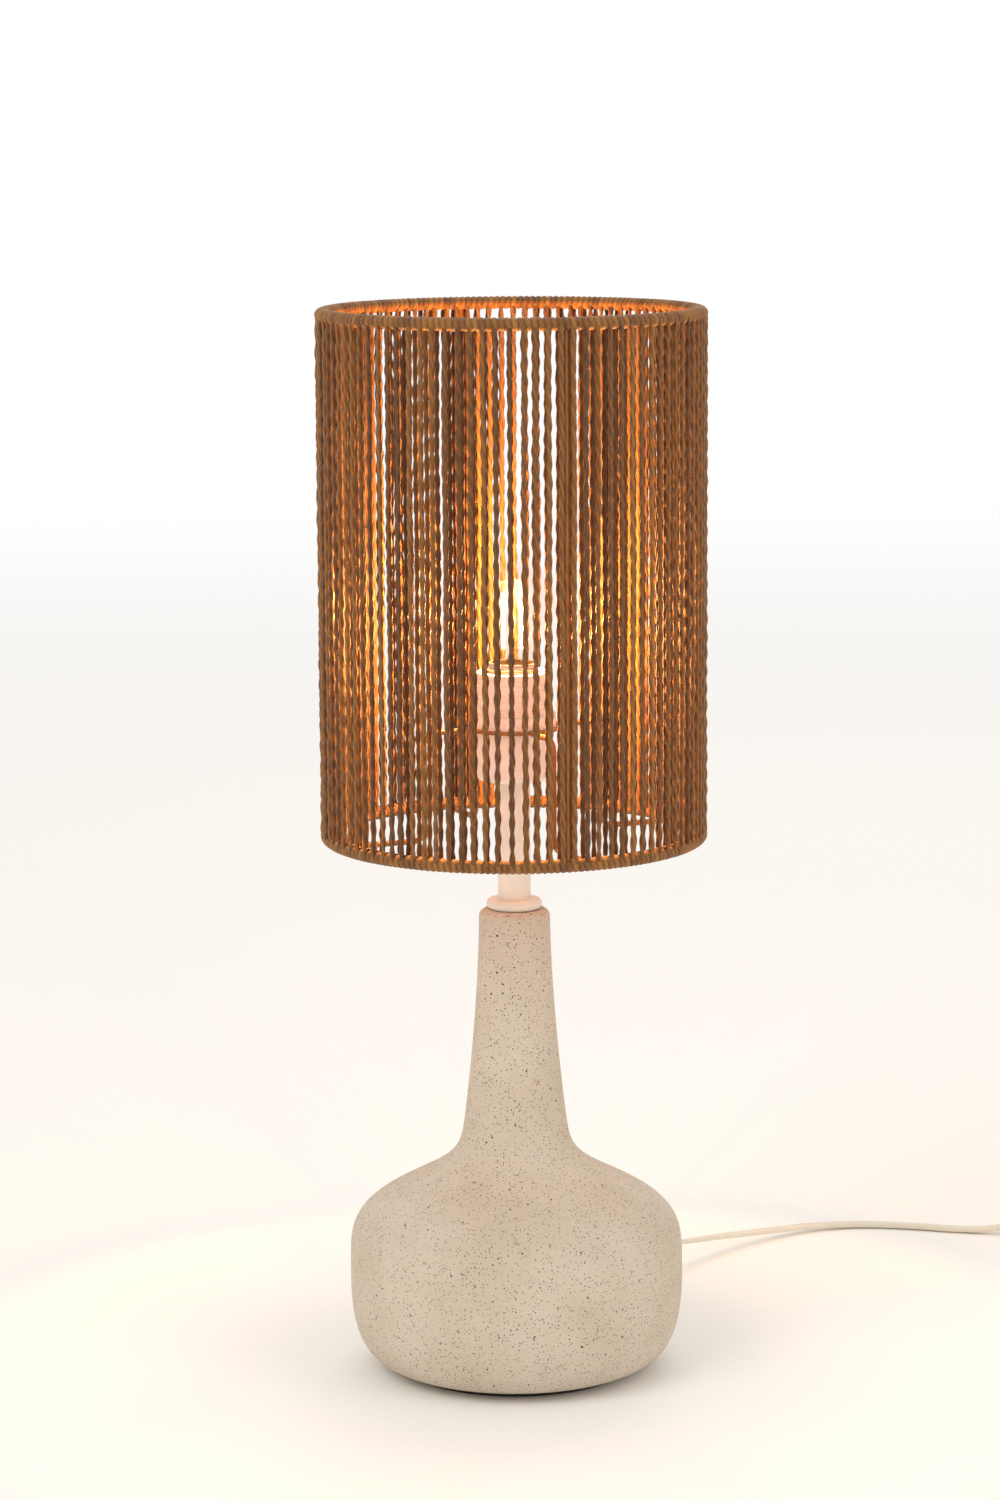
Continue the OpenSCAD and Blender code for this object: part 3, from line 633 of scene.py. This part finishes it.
@dataclass
class StoneBody:
    """The thrown body's outside, turned finely so that its shoulder and foot are smooth."""

    foot: float = 1.6
    height: float = 242.4
    radius: float = 87.0
    widest_at: float = 50.0
    shoulder_reach: float = 50.5
    shoulder_turn: float = 4.4
    neck_radius: float = 18.4
    neck_spread: float = 9.5
    neck_power: float = 1.7
    foot_power: float = 2.5
    foot_bluntness: float = 0.115
    lip: float = 4.0
    foot_edge: float = 0.6
    bore: float = 5.3
    recess: float = 52.0
    recess_depth: float = 3.0
    foot_inset: float = 1.5
    steps: int = 220
    crowding: float = 1.3
    lip_steps: int = 8
    sides: int = 192

    def outline(self, height: np.ndarray) -> np.ndarray:
        """Radius at heights above the foot.

        Below the widest height it is a blunt power curve that tucks in at the foot. Above it, the neck's
        slow flare and the full body are blended by a bell curve that falls at the shoulder.

        Args:
            height: Heights above the foot, in millimetres.

        Returns:
            The radius at each height, in millimetres.
        """
        low = np.clip((self.widest_at - height) / self.widest_at, 0, 1)
        foot = self.radius * (1 - low**self.foot_power) ** self.foot_bluntness
        up = np.clip((height - self.widest_at) / self.shoulder_reach, 0, None)
        fall = np.exp(-(up**self.shoulder_turn))
        flare = ((self.height - height) / (self.height / 2)) ** self.neck_power
        neck = self.neck_radius + self.neck_spread * flare
        return np.where(height < self.widest_at, foot, neck * (1 - fall) + self.radius * fall)

    def build(self, stone: bpy.types.Material) -> bpy.types.Object:
        """Turns the outline, from the recess in the foot to the bore in the neck, into one skin.

        Args:
            stone: The finish of the stoneware.

        Returns:
            The skin, which stands for the CAD solid.
        """
        top = self.height - self.lip
        share = np.linspace(0, 1, self.steps) ** self.crowding
        heights = self.foot_edge + (top - self.foot_edge) * share
        radii = self.outline(heights)
        arc = np.radians(np.linspace(0, 90, self.lip_steps + 1)[1:])
        lip_radii = radii[-1] - self.lip * (1 - np.cos(arc))
        lip_heights = top + self.lip * np.sin(arc)
        under = np.array(
            [[self.recess, self.recess_depth], [self.recess, 0.0], [radii[0] - self.foot_inset, 0.0]]
        )
        inner = np.array([[self.bore, self.height], [self.bore, self.height - 3 * self.lip]])
        profile = np.concatenate(
            [under, np.stack([radii, heights], 1), np.stack([lip_radii, lip_heights], 1), inner]
        )
        a = np.arange(self.sides) / self.sides * 2 * np.pi
        ring, z = profile[:, :1], profile[:, 1:] + self.foot
        points = np.stack([ring * np.cos(a), ring * np.sin(a), z + 0 * a], axis=-1) * MM
        body = mesh_object("stoneware_body", points, tube_quads(len(profile), self.sides))
        finish_piece(body, stone, "base", "stoneware", "ceramic_base")
        return body


@dataclass
class FlatCord:
    """The flat twin cord: out of the base, over the table, through the switch, coiled, to its plug."""

    width: float = 6.5
    thickness: float = 3.3
    outlet_radius: float = 88.6
    outlet_height: float = 24.0
    outlet_angle: float = 66.0
    line_y: float = 240.0
    switch_start: float = 306.0
    switch_end: float = 368.0
    switch_mid: float = 7.5
    coil_outer: float = 46.0
    coil_step: float = 7.6
    coil_loops: int = 3
    coil_bed: float = 2.75
    coil_layer: float = 5.1
    plug_run: float = 24.0
    plug_mid: float = 7.0
    sides: int = 16
    steps_per_turn: int = 48
    climb_turns: float = 0.5
    groove_depth: float = 0.3
    groove_share: float = 0.13
    lean_at_outlet: float = 52.0
    lean_from: float = 20.0
    lean_run: float = 150.0
    least_step: float = 0.3

    def outlet(self, radius: float) -> list[float]:
        """A point on the outlet's own line.

        Args:
            radius: Its distance from the lamp's axis, in millimetres.

        Returns:
            The point, in millimetres.
        """
        a = math.radians(self.outlet_angle)
        return [radius * math.cos(a), radius * math.sin(a), self.outlet_height]

    def lead_route(self) -> np.ndarray:
        """The given points from inside the outlet to the switch, in millimetres."""
        return np.array(
            [
                self.outlet(75.0), self.outlet(self.outlet_radius), [44, 100, 23.6], [56, 122, 22],
                [70, 144, 19.5], [86, 166, 16.5], [102, 185, 13.2], [118, 204, 10], [134, 221, 7],
                [152, 236, 4.8], [171, 248, 3.4], [192, 255, 2.4], [213, 256, 2], [235, 252, 2],
                [256, 246, 2], [274, 242, 2.8], [290, 240, 5.4], [306, 240, 7.5],
            ]
        )  # fmt: skip

    def smooth(self, route: np.ndarray, steps: int) -> np.ndarray:
        """A curve through the route's points whose heading follows each point's neighbours.

        Args:
            route: The points.
            steps: Steps between two points.

        Returns:
            The curve's points.
        """
        a = np.concatenate([route[:1], route[:-2]])
        b, c = route[:-1], route[1:]
        d = np.concatenate([route[2:], route[-1:]])
        t = (np.arange(steps) / steps)[None, :, None]
        a, b, c, d = (p[:, None] for p in (a, b, c, d))
        curve = 0.5 * (
            2 * b + (c - a) * t + (2 * a - 5 * b + 4 * c - d) * t**2 + (3 * b - a - 3 * c + d) * t**3
        )
        return np.concatenate([curve.reshape(-1, 3), route[-1:]])

    def coil_route(self) -> np.ndarray:
        """The coil's centreline: in along the lower layer and out along the upper one."""
        turns, per_turn = 2 * self.coil_loops, self.steps_per_turn
        turn = np.arange(turns * per_turn + 1) / per_turn
        radius = self.coil_outer - self.coil_step * np.minimum(turn, turns - turn)
        rise = np.clip((turn - self.coil_loops) / self.climb_turns + 0.5, 0, 1)
        z = self.coil_bed + self.coil_layer * (0.5 - 0.5 * np.cos(np.pi * rise))
        a = np.pi / 2 - 2 * np.pi * turn
        centre_x = self.switch_end + self.coil_outer
        centre_y = self.line_y - self.coil_outer
        return np.stack([centre_x + radius * np.cos(a), centre_y + radius * np.sin(a), z], axis=-1)

    def path(self) -> np.ndarray:
        """The whole centreline, in millimetres."""
        y, mid, end = self.line_y, self.switch_mid, self.switch_end
        through = np.array([[x, y, mid] for x in np.linspace(self.switch_start, end, 8)[1:]])
        before = self.smooth(
            np.array(
                [
                    [end, y, mid], [end + self.width, y, mid], [end + 20, y, mid - 2.6],
                    [end + 34, y, self.coil_bed + 0.6], [end + self.coil_outer, y, self.coil_bed],
                ]
            ),
            4,
        )[1:-1]  # fmt: skip
        plug = end + self.coil_outer + self.plug_run
        after = np.array([[plug - self.width, y, self.plug_mid], [plug + 3, y, self.plug_mid]])
        return np.concatenate([self.smooth(self.lead_route(), 6), through, before, self.coil_route(), after])

    def section(self) -> np.ndarray:
        """Half-width and half-thickness of the two joined cores, with the groove between them.

        Both are powers of a cosine and a sine, which square the corners a little, and the thickness
        dips as a bell curve where the cores meet.
        """
        a = (np.arange(self.sides) + 0.5) / self.sides * 2 * np.pi
        across = self.width / 2 * np.sign(np.cos(a)) * np.abs(np.cos(a)) ** 0.85
        groove = 1 - self.groove_depth * np.exp(-((across / (self.groove_share * self.width)) ** 2))
        up = self.thickness / 2 * np.sign(np.sin(a)) * np.abs(np.sin(a)) ** 0.8 * groove
        return np.stack([across, up], axis=-1)

    def build(
        self, jacket: bpy.types.Material, nodes: dict[str, bpy.types.Object]
    ) -> bpy.types.Object:
        """Args:
            jacket: The finish of the cord's jacket.
            nodes: The CAD objects by node name, of which some are on the cord. Not used.

        Returns:
            The cord's object.
        """
        line = self.path()
        keep = np.concatenate([[True], np.linalg.norm(np.diff(line, axis=0), axis=1) > self.least_step])
        line = line[keep]
        along = np.gradient(line, axis=0)
        along /= np.linalg.norm(along, axis=1, keepdims=True)
        side = np.cross(along, [0.0, 0.0, 1.0])
        side /= np.linalg.norm(side, axis=1, keepdims=True)
        up = np.cross(side, along)
        run = np.concatenate([[0], np.cumsum(np.linalg.norm(np.diff(line, axis=0), axis=1))])
        # The cord leaves the base half on edge and lies down flat as it nears the table
        lying = np.clip((run - self.lean_from) / self.lean_run, 0, 1)[:, None, None]
        lean = np.radians(self.lean_at_outlet) * (1 - lying)
        across, thick = self.section().T
        width_now = across[None, :, None] * np.cos(lean) - thick[None, :, None] * np.sin(lean)
        height_now = across[None, :, None] * np.sin(lean) + thick[None, :, None] * np.cos(lean)
        points = line[:, None] + side[:, None] * width_now + up[:, None] * height_now
        walls = tube_quads(len(line), self.sides)[:, ::-1]
        cord = mesh_object("mains_cord", points * MM, walls)
        finish_piece(cord, jacket, "base", "cord_jacket", "cord_lead", "cord_coil")
        return cord


@dataclass(frozen=True)
class SoftLight:
    """One square area light that faces the lamp."""

    name: str
    place: tuple[float, float, float]
    size: float
    power: float
    aim: tuple[float, float, float] = (0.0, 0.0, 0.25)

    def build(self) -> None:
        """Makes the light and turns it towards the lamp."""
        data = bpy.data.lights.new(self.name, "AREA")
        data.size = self.size
        data.energy = self.power
        light = bpy.data.objects.new(self.name, data)
        light.location = self.place
        heading = Vector(self.aim) - Vector(self.place)
        light.rotation_euler = heading.to_track_quat("-Z", "Y").to_euler()
        bpy.context.scene.collection.objects.link(light)


@dataclass
class Studio:
    """The plain room: a pale floor, soft lights and the camera of the photograph."""

    camera_distance: float = 2167.0
    camera_height: float = 678.0
    camera_side: float = -7.0
    pitch: float = 9.2
    roll: float = 0.35
    focal_px: float = 4258.0
    long_side_px: float = 1500.0
    floor: str = "#FCFBF9"
    sky: str = "#F2EEE8"
    sky_level: float = 0.85
    fade_start: float = 0.9
    fade_end: float = 4.5
    floor_half: float = 40.0
    sight: float = 120.0

    def build_camera(self) -> bpy.types.Object:
        """Makes the camera at the photograph's place and angle."""
        data = bpy.data.cameras.new("photo_camera")
        data.sensor_width = 36.0
        data.lens = self.focal_px / self.long_side_px * data.sensor_width
        data.clip_end = self.sight
        camera = bpy.data.objects.new("photo_camera", data)
        bpy.context.scene.collection.objects.link(camera)
        place = Vector((self.camera_side, -self.camera_distance, self.camera_height)) * MM
        tilt = Matrix.Rotation(math.radians(90 - self.pitch), 4, "X")
        lean = Matrix.Rotation(math.radians(-self.roll), 4, "Z")
        camera.matrix_world = Matrix.Translation(place) @ tilt @ lean
        bpy.context.scene.camera = camera
        return camera

    def build_floor(self) -> bpy.types.Object:
        """Makes the floor, which stays pale to the camera and keeps the lamp's shadow."""
        half = self.floor_half
        points = np.array([[-half, -half, 0], [half, -half, 0], [half, half, 0], [-half, half, 0]])
        floor = mesh_object("floor", points, np.array([[0, 1, 2, 3]]))
        material, tree, place = start_material("pale_floor")
        matte = add(
            tree, "ShaderNodeBsdfPrincipled", {"Base Color": linear(self.floor), "Roughness": 0.9}
        )
        far = add(tree, "ShaderNodeEmission", {"Color": (1.0, 1.0, 1.0, 1.0), "Strength": 1.0})
        reach = add(tree, "ShaderNodeVectorMath", {"operation": "LENGTH"}, {"Vector": place})
        fade = add(
            tree,
            "ShaderNodeMapRange",
            {"From Min": self.fade_start, "From Max": self.fade_end, "interpolation_type": "SMOOTHSTEP"},
            {"Value": reach.outputs["Value"]},
        )
        mixed = add(tree, "ShaderNodeMixShader", links={"Fac": fade.outputs["Result"]})
        tree.links.new(matte.outputs["BSDF"], mixed.inputs[1])
        tree.links.new(far.outputs["Emission"], mixed.inputs[2])
        add(tree, "ShaderNodeOutputMaterial", links={"Surface": mixed.outputs["Shader"]})
        floor.data.materials.append(material)
        return floor

    def build_lights(self) -> None:
        """Makes three soft area lights and an even sky that looks white to the camera."""
        world = bpy.data.worlds.new("soft_sky")
        bpy.context.scene.world = world
        world.use_nodes = True
        tree = world.node_tree
        tree.nodes.clear()
        ray = add(tree, "ShaderNodeLightPath")
        seen = add(tree, "ShaderNodeMath", {"operation": "MAXIMUM"})
        tree.links.new(ray.outputs["Is Camera Ray"], seen.inputs[0])
        tree.links.new(ray.outputs["Is Transmission Ray"], seen.inputs[1])
        sky = add(tree, "ShaderNodeBackground", {"Color": linear(self.sky), "Strength": self.sky_level})
        white = add(tree, "ShaderNodeBackground", {"Color": (1.0, 1.0, 1.0, 1.0), "Strength": 1.0})
        mixed = add(tree, "ShaderNodeMixShader", links={"Fac": seen.outputs[0]})
        tree.links.new(sky.outputs["Background"], mixed.inputs[1])
        tree.links.new(white.outputs["Background"], mixed.inputs[2])
        add(tree, "ShaderNodeOutputWorld", links={"Surface": mixed.outputs["Shader"]})
        for light in (
            SoftLight("key_light", (-1.6, -1.8, 2.4), 1.6, 24.0),
            SoftLight("fill_light", (1.9, -1.2, 1.6), 1.8, 9.0),
            SoftLight("back_light", (0.4, 2.0, 2.2), 1.6, 10.0),
        ):
            light.build()


@dataclass
class BulbLight:
    """The light that the filaments throw on the shade, the holder and the table."""

    height: float = 394.0
    radius: float = 11.0
    power: float = 6.5
    colour: str = "#FFB566"

    def build(self) -> bpy.types.Object:
        """Makes the light in the middle of the bulb."""
        data = bpy.data.lights.new("bulb_glow", "POINT")
        data.energy = self.power
        data.color = linear(self.colour)[:3]
        data.shadow_soft_size = self.radius * MM
        light = bpy.data.objects.new("bulb_glow", data)
        light.location = (0.0, 0.0, self.height * MM)
        bpy.context.scene.collection.objects.link(light)
        return light


def dress_nodes(nodes: dict[str, bpy.types.Object]) -> None:
    """Gives each CAD node that shows its finish.

    Args:
        nodes: The CAD objects by node name.
    """
    cream = Coated("cream_powder_coat", "#EDE5D6", "#E4DAC8", 0.42, coat=0.15)
    finishes = {
        Coated("black_moulding", "#3A3734", "#2E2B29", 0.6): ["base_cover"],
        Coated("wool_felt", "#3B342E", "#2C2622", 0.95, grain_mm=0.5, depth_mm=0.3): ["felt_pad"],
        Coated("zinc_plate", "#B9B7B0", "#A6A39B", 0.35, 1.0): [
            "pipe", "neck_washer", "neck_nut", "switch_pin",
        ],
        cream: ["neck_disc", "neck_tube"],
        Coated("white_thermoset", "#F1ECE2", "#E8E2D5", 0.38, coat=0.1): [
            "holder_cap", "holder_shell", "shade_ring", "switch_rocker",
        ],
        Coated("white_porcelain", "#F4F1E9", "#ECE8DD", 0.15, coat=0.5): ["holder_insulator"],
        Coated("drawn_brass", "#CDA550", "#B98F3C", 0.28, 1.0): [
            "screw_shell", "centre_contact", "terminal_screws", "switch_contacts", "plug_blades",
        ],
        ClearGlass(): ["bulb_glass"],
        ClearGlass("stem_glass"): ["bulb_stem"],
        Glow(): ["bulb_filaments"],
        Coated("nickel_cap", "#C9C8C3", "#B7B5AE", 0.3, 1.0): ["bulb_cap", "bulb_contact"],
        Coated("black_glass", "#151413", "#0E0D0D", 0.12, coat=0.5): ["bulb_insulator"],
        Coated("gold_brown_wire", "#A8763F", "#8F6030", 0.42, 0.3): [
            "top_ring", "bottom_ring", "shade_struts", "fitter_ring", "fitter_arms",
        ],
        Coated("black_rubber", "#2B2927", "#211F1E", 0.7): ["cord_grommet", "coil_tie"],
        Coated("ivory_moulding", "#ECE4D3", "#E3DAC7", 0.45): ["switch_lower", "switch_upper", "plug_body"],
        Coated("ivory_vinyl_inner", "#E7DFCE", "#DDD4C1", 0.5): ["inner_cord"],
    }  # fmt: skip
    for finish, names in finishes.items():
        material = finish.make()
        for name in names:
            piece = nodes[name]
            piece.data.materials.clear()
            piece.data.materials.append(material)
        LOG.info("dressed %s", ", ".join(names))


def main() -> None:
    """Builds the lamp's pieces in order and reports each."""
    logging.basicConfig(level=logging.INFO, format="%(message)s")
    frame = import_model()
    bpy.context.scene.view_settings.view_transform = "Standard"
    studio = Studio()
    studio.build_camera()
    jacket = Coated("ivory_vinyl_jacket", "#E9E2D3", "#E0D7C5", 0.48).make()
    cord = FlatCord().build(jacket, frame["nodes"])
    LOG.info("built %s", cord.name)
    paper = PaperCord().make()
    shade = CordShade()
    for piece in [*shade.build_panels(paper), *shade.build_rims(paper)]:
        LOG.info("built %s", piece.name)
    stone = StoneBody().build(Stoneware().make())
    LOG.info("built %s", stone.name)
    dress_nodes(frame["nodes"])
    studio.build_floor()
    studio.build_lights()
    BulbLight().build()


if __name__ == "__main__":
    main()
